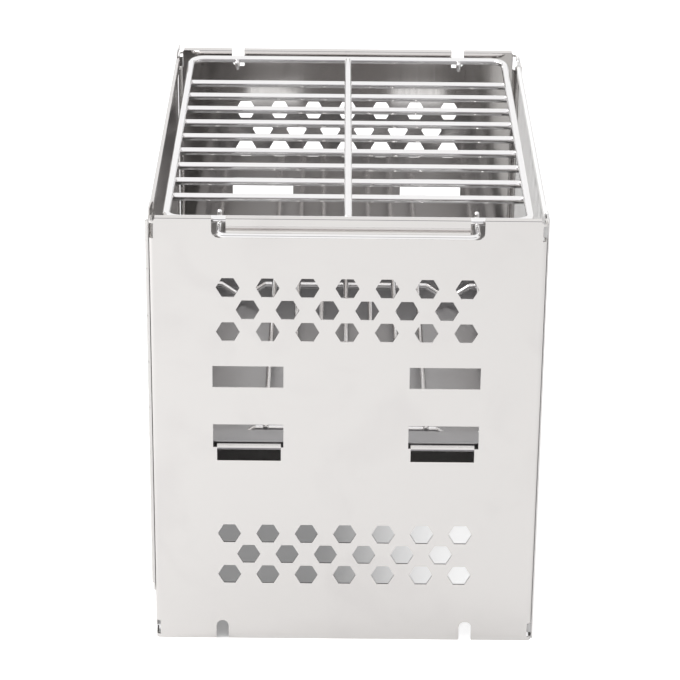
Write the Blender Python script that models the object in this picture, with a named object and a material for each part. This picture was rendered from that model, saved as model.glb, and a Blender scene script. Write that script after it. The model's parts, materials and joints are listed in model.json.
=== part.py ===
"""Folding portable charcoal grill: a box of four stainless panels on two piano hinges,
with a cooking grid on two wire handles and a charcoal tray on lanced shelves.

The front half is modelled once. The rear half is the same half turned half a turn about Z.
Metres, +Z up. The origin is on the ground, under the middle of the box.
"""

import math

import bmesh
import bpy
from mathutils import Matrix, Vector

# Box
BOX_WIDTH = 0.200
BOX_DEPTH = 0.273
PANEL_HEIGHT = 0.239
SHEET = 0.0008
CLEARANCE = 0.0003
BEND_STEPS = 4

# Front and rear panel
CORNER_RADIUS = 0.002
FLANGE_DEPTH = 0.009
FLANGE_DROP = 0.0028
HEM_RADIUS = 0.0014
HEM_DROP = 0.0045
HEM_END_GAP = 0.001
BOTTOM_NOTCH_WIDTH = 0.0064
BOTTOM_NOTCH_HEIGHT = 0.0107
BOTTOM_NOTCH_X = 0.064
CORNER_NOTCH_WIDTH = 0.0022
CORNER_NOTCH_HEIGHT = 0.008
CORNER_NOTCH_RISE = 0.0022
CORNER_NOTCH_DROP = 0.0038

# Air holes
HOLE_PITCH = 0.020
HOLE_ROW_STEP = 0.012
HOLE_FLATS = 0.0104
HOLE_ROW_COUNTS = (7, 6, 7)
UPPER_HOLES_DROP = 0.050
LOWER_HOLES_Z = 0.0505

# Slots, and the shelves bent in under the lower ones
SLOT_X = (0.032, 0.068)
LOWER_SLOT_DROP = 0.126
LOWER_SLOT_HEIGHT = 0.0123
UPPER_SLOT_RISE = 0.033
UPPER_SLOT_HEIGHT = 0.012
SHELF_END_GAPS = (0.0013, 0.002)
SHELF_DEPTH = 0.0125
SHELF_RELIEF = 0.0007
WINDOW_DROP = 0.0018
WINDOW_HEIGHT = 0.0064

# Side panels
SIDE_DROP = 0.002
SIDE_HEM_RADIUS = 0.0011
SIDE_HEM_DROP = 0.0045
SIDE_EDGE_INSET = 0.0025
EAR_LENGTH = 0.009
EAR_FOOT = 0.001
EAR_HEIGHT = 0.0035
EAR_LEAN = math.radians(22.0)
EAR_GAP = 0.003
HOOK_HEIGHT = 0.0058
HOOK_REACH = 0.0022
HOOK_INSET = 0.0030

# Piano hinges
KNUCKLE_COUNT = 8
HINGE_LOW = 0.027
HINGE_TOP_DROP = 0.0064
KNUCKLE_RADIUS = 0.0020
PIN_RADIUS = 0.0010
PIN_CLEARANCE = 0.00005
LEAF_WIDTH = 0.011
ROUND_STEPS = 16

# Cooking grid
GRID_FRAME_WIRE = 0.004
GRID_SIDE_GAP = 0.009
GRID_END_GAP = 0.0083
GRID_CORNER_RADIUS = 0.008
GRID_DROP = 0.0045
GRID_CROSS_WIRE = 0.004
GRID_CROSS_COUNT = 9
GRID_CROSS_END_GAPS = (0.042, 0.032)
GRID_CENTRE_WIRE = 0.004

# Wire handles, which also carry the cooking grid
HANDLE_WIRE = 0.0025
HANDLE_X = 0.0643
HANDLE_REACH = 0.0045
HANDLE_STUB_GAP = 0.0088
HANDLE_STUB_RISE = 0.0055
HANDLE_BEND = 0.0035
CUTOUT_WIDTH = 0.0072
CUTOUT_BELOW = 0.0031
CUTOUT_ROUND = 0.0035

# Charcoal tray
TRAY_SIDE_GAP = 0.012
TRAY_END_GAP = 0.016
TRAY_DEPTH = 0.021
TRAY_RIM_SIDE = 0.005
TRAY_RIM_END = 0.0125

# Charcoal grate
GRATE_WIRE = 0.003
GRATE_RISE = 0.0124
GRATE_SIDE_GAP = 0.006
GRATE_END_GAP = 0.0225
GRATE_DIP_GAP = 0.0274
GRATE_DIP_WIDTH = 0.026
GRATE_BAR_OVERHANG = 0.008
GRATE_EDGE_BAR_GAP = 0.010
GRATE_DIP_BAR_GAP = 0.0056
GRATE_INNER_PITCHES = 3

# Places worked out from the sizes above
HALF_DEPTH = BOX_DEPTH / 2
SIDE_OUTER = BOX_WIDTH / 2
SIDE_INNER = SIDE_OUTER - SHEET
FLANGE_OUTER = SIDE_INNER - CLEARANCE
FLANGE_TOP = PANEL_HEIGHT - FLANGE_DROP
CORNER_NOTCH_LOW = (CORNER_NOTCH_RISE, CORNER_NOTCH_RISE + CORNER_NOTCH_HEIGHT)
CORNER_NOTCH_TOP = PANEL_HEIGHT - CORNER_NOTCH_DROP
CORNER_NOTCH_HIGH = (CORNER_NOTCH_TOP - CORNER_NOTCH_HEIGHT, CORNER_NOTCH_TOP)
UPPER_HOLES_Z = PANEL_HEIGHT - UPPER_HOLES_DROP
LOWER_SLOT_LOW = PANEL_HEIGHT - LOWER_SLOT_DROP
LOWER_SLOT_Z = (LOWER_SLOT_LOW, LOWER_SLOT_LOW + LOWER_SLOT_HEIGHT)
UPPER_SLOT_LOW = LOWER_SLOT_LOW + UPPER_SLOT_RISE
UPPER_SLOT_Z = (UPPER_SLOT_LOW, UPPER_SLOT_LOW + UPPER_SLOT_HEIGHT)
SHELF_X = (SLOT_X[0] + SHELF_END_GAPS[0], SLOT_X[1] - SHELF_END_GAPS[1])
WINDOW_TOP = LOWER_SLOT_LOW - WINDOW_DROP
WINDOW_Z = (WINDOW_TOP - WINDOW_HEIGHT, WINDOW_TOP)
SHELF_TOP = LOWER_SLOT_LOW + CLEARANCE
SHELF_BEND = SHELF_TOP - WINDOW_TOP
SIDE_HEIGHT = PANEL_HEIGHT - SIDE_DROP
EAR_BEND_Z = SIDE_HEIGHT + EAR_FOOT
EAR_TOP = EAR_BEND_Z + EAR_HEIGHT
HINGE_X = -(SIDE_OUTER - SHEET / 2)
HINGE_Y = -HALF_DEPTH + FLANGE_DEPTH + KNUCKLE_RADIUS + CLEARANCE
HINGE_TOP = PANEL_HEIGHT - HINGE_TOP_DROP
KNUCKLE_LENGTH = (HINGE_TOP - HINGE_LOW) / KNUCKLE_COUNT
GRID_CENTRE_Z = PANEL_HEIGHT - GRID_DROP
GRID_HALF_WIDTH = SIDE_OUTER - GRID_SIDE_GAP
GRID_HALF_DEPTH = HALF_DEPTH - GRID_END_GAP
GRID_CROSS_FIRST_Y = GRID_CROSS_END_GAPS[0] - GRID_HALF_DEPTH
GRID_CROSS_LAST_Y = GRID_HALF_DEPTH - GRID_CROSS_END_GAPS[1]
GRID_CROSS_PITCH = (GRID_CROSS_LAST_Y - GRID_CROSS_FIRST_Y) / (GRID_CROSS_COUNT - 1)
HANDLE_Z = GRID_CENTRE_Z - GRID_FRAME_WIRE / 2 - CLEARANCE - HANDLE_WIRE / 2
CUTOUT_Z = (HANDLE_Z - CUTOUT_BELOW, PANEL_HEIGHT + SHEET)
RIM_Z = SHELF_TOP + CLEARANCE
TRAY_FLOOR_Z = RIM_Z - TRAY_DEPTH
TRAY_HALF_WIDTH = SIDE_OUTER - TRAY_SIDE_GAP
TRAY_HALF_LENGTH = HALF_DEPTH - TRAY_END_GAP
GRATE_Z = TRAY_FLOOR_Z + GRATE_RISE
GRATE_HALF_WIDTH = TRAY_HALF_WIDTH - GRATE_SIDE_GAP
GRATE_END_Y = TRAY_HALF_LENGTH - GRATE_END_GAP
GRATE_DIP_X = TRAY_HALF_WIDTH - GRATE_DIP_GAP
GRATE_INNER_REACH = GRATE_DIP_X - GRATE_DIP_WIDTH / 2 - GRATE_DIP_BAR_GAP
GRATE_BAR_PITCH = GRATE_INNER_REACH / GRATE_INNER_PITCHES
GRATE_BAR_OFFSETS = [GRATE_BAR_PITCH * step for step in range(GRATE_INNER_PITCHES + 1)]
GRATE_BAR_OFFSETS.append(TRAY_HALF_WIDTH - GRATE_EDGE_BAR_GAP)
HALF_TURN = math.pi


def make_material(name, colour, roughness, metallic=1.0):
    material = bpy.data.materials.new(name)
    material.use_nodes = True
    shader = material.node_tree.nodes["Principled BSDF"]
    shader.inputs["Base Color"].default_value = (*colour, 1.0)
    shader.inputs["Roughness"].default_value = roughness
    shader.inputs["Metallic"].default_value = metallic
    return material


def add_object(name, data, material=None):
    piece = bpy.data.objects.new(name, data)
    bpy.context.scene.collection.objects.link(piece)
    if material:
        data.materials.append(material)
    return piece


def add_mesh(name, shape, material=None):
    bmesh.ops.recalc_face_normals(shape, faces=shape.faces)
    mesh = bpy.data.meshes.new(name)
    shape.to_mesh(mesh)
    shape.free()
    return add_object(name, mesh, material)


def extrude_outline(shape, outline, direction):
    """Add to shape the solid that a closed flat outline sweeps along direction."""
    corners = [shape.verts.new(point) for point in outline]
    face = shape.faces.new(corners)
    swept = bmesh.ops.extrude_face_region(shape, geom=[face], use_keep_orig=True)
    moved = [item for item in swept["geom"] if isinstance(item, bmesh.types.BMVert)]
    bmesh.ops.translate(shape, vec=direction, verts=moved)


def add_block(shape, low, high):
    """Add a box between two opposite corners."""
    low = Vector(low)
    high = Vector(high)
    outline = [
        (low.x, low.y, low.z),
        (high.x, low.y, low.z),
        (high.x, high.y, low.z),
        (low.x, high.y, low.z),
    ]
    extrude_outline(shape, outline, (0, 0, high.z - low.z))


def arc(centre, radius, start, end, steps=BEND_STEPS):
    """Points of an arc in a plane, from one angle to another."""
    points = []
    for step in range(steps + 1):
        angle = start + (end - start) * step / steps
        points.append((centre[0] + radius * math.cos(angle), centre[1] + radius * math.sin(angle)))
    return points


def cutter_from(name, shape):
    cutter = add_mesh(name, shape)
    cutter.hide_render = True
    cutter.display_type = "WIRE"
    return cutter


def combine(piece, tool, operation):
    modifier = piece.modifiers.new(tool.name, "BOOLEAN")
    modifier.operation = operation
    modifier.object = tool
    modifier.solver = "EXACT"


def turn(pieces, angle):
    for piece in pieces:
        piece.rotation_euler.z = angle


def hang_on(pieces, name, place, angle=0.0):
    """Parent pieces to an empty on their joint's axis, without moving them."""
    axis = bpy.data.objects.new(name, None)
    axis.empty_display_size = 0.01
    bpy.context.scene.collection.objects.link(axis)
    axis.location = Matrix.Rotation(angle, 3, "Z") @ Vector(place)
    for piece in pieces:
        piece.parent = axis
        piece.matrix_parent_inverse = Matrix.Translation(-axis.location)
    return axis


def sheet_from_grid(name, rows, material, slits=()):
    """Folded sheet whose outer face runs through rows of points.

    A point of None leaves a place empty, and slits are the (row, place) cells left open.
    """
    shape = bmesh.new()
    grid = []
    for row in rows:
        grid.append([shape.verts.new(point) if point else None for point in row])
    for step, (lower, upper) in enumerate(zip(grid, grid[1:])):
        for place in range(len(lower) - 1):
            corners = (lower[place], lower[place + 1], upper[place + 1], upper[place])
            if all(corners) and (step, place) not in slits:
                shape.faces.new(corners)
    mesh = bpy.data.meshes.new(name)
    shape.to_mesh(mesh)
    shape.free()
    piece = add_object(name, mesh, material)
    solidify = piece.modifiers.new("sheet_thickness", "SOLIDIFY")
    solidify.thickness = SHEET
    solidify.offset = -1.0
    solidify.use_even_offset = True
    return piece


def end_panel_blank(name, material):
    """Front or rear sheet: a web, two corner bends with flanges, and a hem along its top."""
    face_y = -HALF_DEPTH
    bend_centre_x = FLANGE_OUTER - CORNER_RADIUS
    bend_centre_y = face_y + CORNER_RADIUS
    left = arc((-bend_centre_x, bend_centre_y), CORNER_RADIUS, math.pi, 1.5 * math.pi)
    right = arc((bend_centre_x, bend_centre_y), CORNER_RADIUS, 1.5 * math.pi, 2 * math.pi)
    hem_end = bend_centre_x - HEM_END_GAP
    plan = [(-FLANGE_OUTER, face_y + FLANGE_DEPTH)] + left
    first_hem = len(plan)
    plan += [(-hem_end, face_y), (hem_end, face_y)]
    last_hem = len(plan) - 1
    plan += right + [(FLANGE_OUTER, face_y + FLANGE_DEPTH)]
    hem_start = PANEL_HEIGHT - HEM_RADIUS
    rows = [[(x, y, 0.0) for x, y in plan], []]
    for place, (x, y) in enumerate(plan):
        rows[1].append((x, y, hem_start if first_hem <= place <= last_hem else FLANGE_TOP))
    fold = arc((face_y + HEM_RADIUS, hem_start), HEM_RADIUS, math.pi, 0.0, 2 * BEND_STEPS)[1:]
    fold.append((face_y + 2 * HEM_RADIUS, hem_start - HEM_DROP))
    for y, z in fold:
        row = []
        for place, (x, _) in enumerate(plan):
            row.append((x, y, z) if first_hem <= place <= last_hem else None)
        rows.append(row)
    return sheet_from_grid(name, rows, material)


def hexagon(centre_x, centre_z, y):
    """Outline of a hexagonal hole with flats at its top and bottom."""
    radius = HOLE_FLATS / math.sqrt(3)
    points = []
    for corner in range(6):
        angle = corner * math.pi / 3
        points.append((centre_x + radius * math.cos(angle), y, centre_z + radius * math.sin(angle)))
    return points


def end_panel_holes(name):
    """Everything that is punched out of a front or rear panel."""
    shape = bmesh.new()
    outside = -HALF_DEPTH - SHEET
    inside = -HALF_DEPTH + 2 * SHEET
    through = (0, inside - outside, 0)
    for middle in (UPPER_HOLES_Z, LOWER_HOLES_Z):
        for row, count in enumerate(HOLE_ROW_COUNTS):
            height = middle + (1 - row) * HOLE_ROW_STEP
            for place in range(count):
                x = (place - (count - 1) / 2) * HOLE_PITCH
                extrude_outline(shape, hexagon(x, height, outside), through)
    for side in (-1, 1):
        for low, high in (UPPER_SLOT_Z, LOWER_SLOT_Z):
            add_block(shape, (side * SLOT_X[0], outside, low), (side * SLOT_X[1], inside, high))
        window = (side * SHELF_X[0], outside, WINDOW_Z[0]), (side * SHELF_X[1], inside, WINDOW_Z[1])
        add_block(shape, *window)
    return cutter_from(name, shape)


def end_panel_edge_cuts(name):
    """Handle cut-outs, foot notches and corner notches of a front or rear panel."""
    shape = bmesh.new()
    outside = -HALF_DEPTH - SHEET
    behind = -HALF_DEPTH + 2 * HEM_RADIUS + SHEET
    for side in (-1, 1):
        outer = side * (HANDLE_X + CUTOUT_WIDTH / 2)
        inner = side * (HANDLE_X - CUTOUT_WIDTH / 2)
        low, high = CUTOUT_Z
        corner_x = abs(outer) - CUTOUT_ROUND
        rounded = arc((corner_x, low + CUTOUT_ROUND), CUTOUT_ROUND, -math.pi / 2, 0.0)
        outline = [(inner, outside, high), (inner, outside, low)]
        outline += [(side * x, outside, z) for x, z in rounded]
        outline.append((outer, outside, high))
        extrude_outline(shape, outline, (0, behind - outside, 0))
        half = BOTTOM_NOTCH_WIDTH / 2
        crown = arc((side * BOTTOM_NOTCH_X, BOTTOM_NOTCH_HEIGHT - half), half, 0.0, math.pi, 8)
        outline = [(x, outside, z) for x, z in crown]
        outline.append((side * BOTTOM_NOTCH_X - half, outside, -SHEET))
        outline.append((side * BOTTOM_NOTCH_X + half, outside, -SHEET))
        extrude_outline(shape, outline, (0, 3 * SHEET, 0))
        for low, high in (CORNER_NOTCH_LOW, CORNER_NOTCH_HIGH):
            near = side * (FLANGE_OUTER - CORNER_NOTCH_WIDTH)
            far = side * (FLANGE_OUTER + SHEET)
            beyond = -HALF_DEPTH + FLANGE_DEPTH + SHEET
            add_block(shape, (near, outside, low), (far, beyond, high))
    return cutter_from(name, shape)


def shelves(name):
    """The two tabs bent in under the lower slots, with their bends still square outside."""
    shape = bmesh.new()
    face_y = -HALF_DEPTH
    section = [
        (face_y, WINDOW_Z[1]),
        (face_y, SHELF_TOP),
        (face_y + SHELF_DEPTH, SHELF_TOP),
        (face_y + SHELF_DEPTH, SHELF_TOP - SHEET),
        (face_y + SHELF_BEND, SHELF_TOP - SHEET),
        (face_y + SHEET, WINDOW_Z[1]),
    ]
    for side in (-1, 1):
        outline = [(side * SHELF_X[0], y, z) for y, z in section]
        extrude_outline(shape, outline, (side * (SHELF_X[1] - SHELF_X[0]), 0, 0))
    return cutter_from(name, shape)


def shelf_bend_cuts(name):
    """What the outside of each shelf's bend leaves of the square corner."""
    shape = bmesh.new()
    outside = -HALF_DEPTH - SHEET
    above = SHELF_TOP + SHEET
    centre = (-HALF_DEPTH + SHELF_BEND, SHELF_TOP - SHELF_BEND)
    section = [(outside, above), (outside, centre[1])]
    section += arc(centre, SHELF_BEND, math.pi, math.pi / 2)
    section.append((centre[0], above))
    for side in (-1, 1):
        outline = [(side * SHELF_X[0], y, z) for y, z in section]
        extrude_outline(shape, outline, (side * (SHELF_X[1] - SHELF_X[0]), 0, 0))
    return cutter_from(name, shape)


def shelf_relief_cuts(name):
    """Square reliefs beside each shelf."""
    shape = bmesh.new()
    outside = -HALF_DEPTH - SHEET
    inside = -HALF_DEPTH + 2 * SHEET
    low_z = LOWER_SLOT_Z[0] - SHELF_RELIEF
    high_z = LOWER_SLOT_Z[0] + SHEET
    for side in (-1, 1):
        for near, far in ((SLOT_X[0], SHELF_X[0]), (SHELF_X[1], SLOT_X[1])):
            add_block(shape, (side * near, outside, low_z), (side * far, inside, high_z))
    return cutter_from(name, shape)


def end_panel(prefix, material, angle):
    panel = end_panel_blank(prefix + "_panel", material)
    holes = end_panel_holes(prefix + "_hole_cutter")
    edges = end_panel_edge_cuts(prefix + "_edge_cutter")
    tabs = shelves(prefix + "_shelf_tool")
    bends = shelf_bend_cuts(prefix + "_bend_cutter")
    reliefs = shelf_relief_cuts(prefix + "_relief_cutter")
    combine(panel, holes, "DIFFERENCE")
    combine(panel, edges, "DIFFERENCE")
    combine(panel, tabs, "UNION")
    combine(panel, bends, "DIFFERENCE")
    combine(panel, reliefs, "DIFFERENCE")
    turn((panel, holes, edges, tabs, bends, reliefs), angle)


def side_panel_blank(name, material):
    """Left side sheet, with a hem along its top and a leaning ear at each end."""
    outer_x = -SIDE_OUTER
    front = HINGE_Y + KNUCKLE_RADIUS + CLEARANCE
    back = HALF_DEPTH - SIDE_EDGE_INSET
    hem_front = front + EAR_LENGTH + EAR_GAP
    hem_back = back - EAR_LENGTH - EAR_GAP
    stations = [back, back - EAR_LENGTH, hem_back, hem_front, front + EAR_LENGTH, front]
    hem_start = SIDE_HEIGHT - SIDE_HEM_RADIUS
    lean = (EAR_TOP - EAR_BEND_Z) * math.tan(EAR_LEAN)
    rows = [[(outer_x, y, 0.0) for y in stations]]
    rows.append([(outer_x, y, hem_start - SIDE_HEM_DROP) for y in stations])
    fold = [(outer_x, hem_start)]
    fold += arc((outer_x + SIDE_HEM_RADIUS, hem_start), SIDE_HEM_RADIUS, math.pi, 0.0, 2 * BEND_STEPS)[1:]
    fold.append((outer_x + 2 * SIDE_HEM_RADIUS, hem_start - SIDE_HEM_DROP))
    ear = [(outer_x, EAR_BEND_Z), (outer_x + lean, EAR_TOP)]
    for step, (hem_x, hem_z) in enumerate(fold):
        row = []
        for place, y in enumerate(stations):
            if place in (2, 3):
                row.append((hem_x, y, hem_z))
            elif step < len(ear):
                row.append((ear[step][0], y, ear[step][1]))
            else:
                row.append(None)
        rows.append(row)
    slits = {(step, place) for step in range(1, len(rows)) for place in (1, 3)}
    return sheet_from_grid(name, rows, material, slits)


def hook_tabs(name):
    """The two tongues that enter the corner notches of the rear panel."""
    shape = bmesh.new()
    edge_y = HALF_DEPTH - HOOK_INSET
    inner_x = -(FLANGE_OUTER - HOOK_REACH)
    for low, high in (CORNER_NOTCH_LOW, CORNER_NOTCH_HIGH):
        middle = (low + high) / 2
        bottom = middle - HOOK_HEIGHT / 2
        far = (inner_x, edge_y, bottom + HOOK_HEIGHT)
        add_block(shape, (-SIDE_OUTER + SHEET / 2, edge_y - SHEET, bottom), far)
    return cutter_from(name, shape)


def side_panel(prefix, material, angle):
    panel = side_panel_blank(prefix + "_side_panel", material)
    hooks = hook_tabs(prefix + "_hook_tool")
    combine(panel, hooks, "UNION")
    turn((panel, hooks), angle)
    return panel, hooks


def comb_outline(x, root_y, tooth_y, clear_y, first_tooth):
    """Flat leaf of a piano hinge in a plane of constant x, with a tooth at every other knuckle."""
    points = [(x, root_y, HINGE_LOW), (x, root_y, HINGE_TOP)]
    for knuckle in reversed(range(KNUCKLE_COUNT)):
        low = HINGE_LOW + knuckle * KNUCKLE_LENGTH
        high = low + KNUCKLE_LENGTH
        if knuckle % 2 == first_tooth:
            reach = tooth_y
            inset = CLEARANCE / 2
        else:
            reach = clear_y
            inset = -CLEARANCE / 2
        top = HINGE_TOP if knuckle == KNUCKLE_COUNT - 1 else high - inset
        bottom = HINGE_LOW if knuckle == 0 else low + inset
        points.append((x, reach, top))
        points.append((x, reach, bottom))
    return points


def knuckles(name, first_tooth):
    """Bored barrels at every other place along a piano hinge."""
    shape = bmesh.new()
    for knuckle in range(KNUCKLE_COUNT):
        if knuckle % 2 != first_tooth:
            continue
        low = HINGE_LOW + knuckle * KNUCKLE_LENGTH + CLEARANCE / 2
        length = KNUCKLE_LENGTH - CLEARANCE
        bored_tube(shape, (HINGE_X, HINGE_Y, low), KNUCKLE_RADIUS, PIN_RADIUS + PIN_CLEARANCE, length)
    return cutter_from(name, shape)


def bored_tube(shape, base, outer, inner, length):
    """Add an upright tube, as two rings of points joined into walls."""
    rings = []
    for radius in (outer, inner):
        for height in (0.0, length):
            centre = Matrix.Translation((base[0], base[1], base[2] + height))
            ring = bmesh.ops.create_circle(shape, segments=ROUND_STEPS, radius=radius, matrix=centre)
            rings.append(ring["verts"])
    outer_low, outer_high, inner_low, inner_high = rings
    for first, second in (
        (outer_low, outer_high),
        (outer_high, inner_high),
        (inner_high, inner_low),
        (inner_low, outer_low),
    ):
        for place in range(ROUND_STEPS):
            after = (place + 1) % ROUND_STEPS
            shape.faces.new((first[place], first[after], second[after], second[place]))


def hinge_leaf(name, x_low, root_y, tooth_y, clear_y, first_tooth, material):
    shape = bmesh.new()
    outline = comb_outline(x_low, root_y, tooth_y, clear_y, first_tooth)
    extrude_outline(shape, outline, (SHEET, 0, 0))
    leaf = add_mesh(name, shape, material)
    barrels = knuckles(name + "_knuckle_tool", first_tooth)
    combine(leaf, barrels, "UNION")
    return leaf, barrels


def hinge(end, side, material, angle):
    """Piano hinge at the front left corner: a leaf on the flange, a leaf in the side panel, a pin.

    The leaf that swings with the side panel is given back, with its knuckles.
    """
    away = KNUCKLE_RADIUS + CLEARANCE
    wall_middle = (KNUCKLE_RADIUS + PIN_RADIUS + PIN_CLEARANCE) / 2
    leaf_front = -HALF_DEPTH + CORNER_RADIUS + CLEARANCE
    fixed = hinge_leaf(
        end + "_hinge_leaf",
        -SIDE_OUTER,
        leaf_front,
        HINGE_Y - wall_middle,
        HINGE_Y - away,
        0,
        material,
    )
    inner_offset = SIDE_INNER - CLEARANCE
    offset_from_axis = abs(HINGE_X) - inner_offset
    tooth = math.sqrt(wall_middle**2 - offset_from_axis**2)
    moving = hinge_leaf(
        side + "_hinge_leaf",
        -inner_offset,
        HINGE_Y + LEAF_WIDTH + away,
        HINGE_Y + tooth,
        HINGE_Y + away,
        1,
        material,
    )
    shape = bmesh.new()
    length = HINGE_TOP - HINGE_LOW
    middle = Matrix.Translation((HINGE_X, HINGE_Y, HINGE_LOW + length / 2))
    bmesh.ops.create_cone(
        shape,
        cap_ends=True,
        segments=ROUND_STEPS,
        radius1=PIN_RADIUS,
        radius2=PIN_RADIUS,
        depth=length,
        matrix=middle,
    )
    pin = add_mesh(end + "_hinge_pin", shape, material)
    turn((*fixed, *moving, pin), angle)
    return moving


def wire(name, points, thickness, material, closed=False, round_ends=False):
    """Round wire along a path, with hemispherical ends if asked."""
    curve = bpy.data.curves.new(name, "CURVE")
    curve.dimensions = "3D"
    curve.bevel_depth = thickness / 2
    curve.bevel_resolution = 2
    curve.use_fill_caps = not closed
    path = [(Vector(point), 1.0) for point in points]
    if round_ends:
        path = rounded_end(path[::-1], thickness)
        path = rounded_end(path[::-1], thickness)
    spline = curve.splines.new("POLY")
    spline.points.add(len(path) - 1)
    for place, (point, radius) in enumerate(path):
        spline.points[place].co = (*point, 1.0)
        spline.points[place].radius = radius
    spline.use_cyclic_u = closed
    return add_object(name, curve, material)


def rounded_end(path, thickness):
    """Replace the last point of a path by points that close in to a small tip."""
    tip, _ = path[-1]
    before, _ = path[-2]
    direction = (tip - before).normalized()
    centre = tip - direction * thickness / 2
    result = path[:-1]
    for angle in (0, 30, 60, 80):
        ahead = math.sin(math.radians(angle)) * thickness / 2
        result.append((centre + direction * ahead, math.cos(math.radians(angle))))
    return result


def bent_path(corners, radius, steps=BEND_STEPS):
    """Points along a path of straight runs whose inner corners are rounded."""
    corners = [Vector(corner) for corner in corners]
    points = [corners[0]]
    for before, corner, after in zip(corners, corners[1:], corners[2:]):
        points += rounded_corner(before, corner, after, radius, steps)
    points.append(corners[-1])
    return points


def rounded_corner(before, corner, after, radius, steps):
    back = (before - corner).normalized()
    ahead = (after - corner).normalized()
    half_angle = back.angle(ahead) / 2
    run = radius / math.tan(half_angle)
    centre = corner + (back + ahead).normalized() * radius / math.sin(half_angle)
    start = corner + back * run - centre
    sweep = math.pi - 2 * half_angle
    axis = back.cross(ahead).normalized()
    return [centre + Matrix.Rotation(-sweep * step / steps, 3, axis) @ start for step in range(steps + 1)]


def wire_handle(prefix, material, angle):
    """U of wire: its bar lies in front of the panel and its arms run inside, under the grid."""
    bar_y = -HALF_DEPTH - HANDLE_REACH
    inner_y = -GRID_HALF_DEPTH + HANDLE_STUB_GAP
    stub_top = HANDLE_Z + HANDLE_STUB_RISE
    corners = [
        (-HANDLE_X, inner_y, stub_top),
        (-HANDLE_X, inner_y, HANDLE_Z),
        (-HANDLE_X, bar_y, HANDLE_Z),
        (HANDLE_X, bar_y, HANDLE_Z),
        (HANDLE_X, inner_y, HANDLE_Z),
        (HANDLE_X, inner_y, stub_top),
    ]
    path = bent_path(corners, HANDLE_BEND)
    handle = wire(prefix + "_wire_handle", path, HANDLE_WIRE, material, round_ends=True)
    turn((handle,), angle)
    return handle


def cooking_grid(material):
    """Wire frame with wires welded across under it and one wire along the middle."""
    radius = GRID_CORNER_RADIUS
    loop = []
    for quarter, (x, y) in enumerate(((1, 1), (-1, 1), (-1, -1), (1, -1))):
        centre = (x * (GRID_HALF_WIDTH - radius), y * (GRID_HALF_DEPTH - radius))
        start = quarter * math.pi / 2
        loop += [(px, py, GRID_CENTRE_Z) for px, py in arc(centre, radius, start, start + math.pi / 2, 6)]
    pieces = [wire("grid_frame", loop, GRID_FRAME_WIRE, material, closed=True)]
    cross_z = GRID_CENTRE_Z - (GRID_FRAME_WIRE + GRID_CROSS_WIRE) / 2 - CLEARANCE
    for place in range(GRID_CROSS_COUNT):
        y = GRID_CROSS_FIRST_Y + place * GRID_CROSS_PITCH
        ends = [(-GRID_HALF_WIDTH, y, cross_z), (GRID_HALF_WIDTH, y, cross_z)]
        pieces.append(wire(f"grid_cross_wire_{place + 1}", ends, GRID_CROSS_WIRE, material))
    centre_z = cross_z + (GRID_CROSS_WIRE + GRID_CENTRE_WIRE) / 2 + CLEARANCE
    end_y = GRID_HALF_DEPTH - GRID_FRAME_WIRE / 2 - CLEARANCE
    ends = [(0, -end_y, centre_z), (0, end_y, centre_z)]
    pieces.append(wire("grid_centre_wire", ends, GRID_CENTRE_WIRE, material))
    hang_on(pieces, "cooking_grid_origin", (0, 0, GRID_CENTRE_Z))
    return pieces


def charcoal_tray(material):
    """Pan with a rim; the rim's ends lie on the shelves."""
    half_width = TRAY_HALF_WIDTH
    half_length = TRAY_HALF_LENGTH
    rings = (
        (half_width + TRAY_RIM_SIDE, half_length + TRAY_RIM_END, RIM_Z),
        (half_width, half_length, RIM_Z),
        (half_width, half_length, TRAY_FLOOR_Z),
        (half_width - SHEET, half_length - SHEET, TRAY_FLOOR_Z + SHEET),
        (half_width - SHEET, half_length - SHEET, RIM_Z + SHEET),
        (half_width + TRAY_RIM_SIDE, half_length + TRAY_RIM_END, RIM_Z + SHEET),
    )
    corners = ((1, 1), (-1, 1), (-1, -1), (1, -1))
    shape = bmesh.new()
    loops = []
    for x, y, z in rings:
        loops.append([shape.verts.new((sx * x, sy * y, z)) for sx, sy in corners])
    walls = ((0, 1), (1, 2), (3, 4), (4, 5), (5, 0))
    for first, second in walls:
        for place in range(4):
            after = (place + 1) % 4
            low = loops[first]
            high = loops[second]
            shape.faces.new((low[place], low[after], high[after], high[place]))
    shape.faces.new(loops[2])
    shape.faces.new(loops[3])
    tray = add_mesh("charcoal_tray", shape, material)
    hang_on((tray,), "charcoal_tray_origin", (0, 0, TRAY_FLOOR_Z))
    return tray


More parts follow.
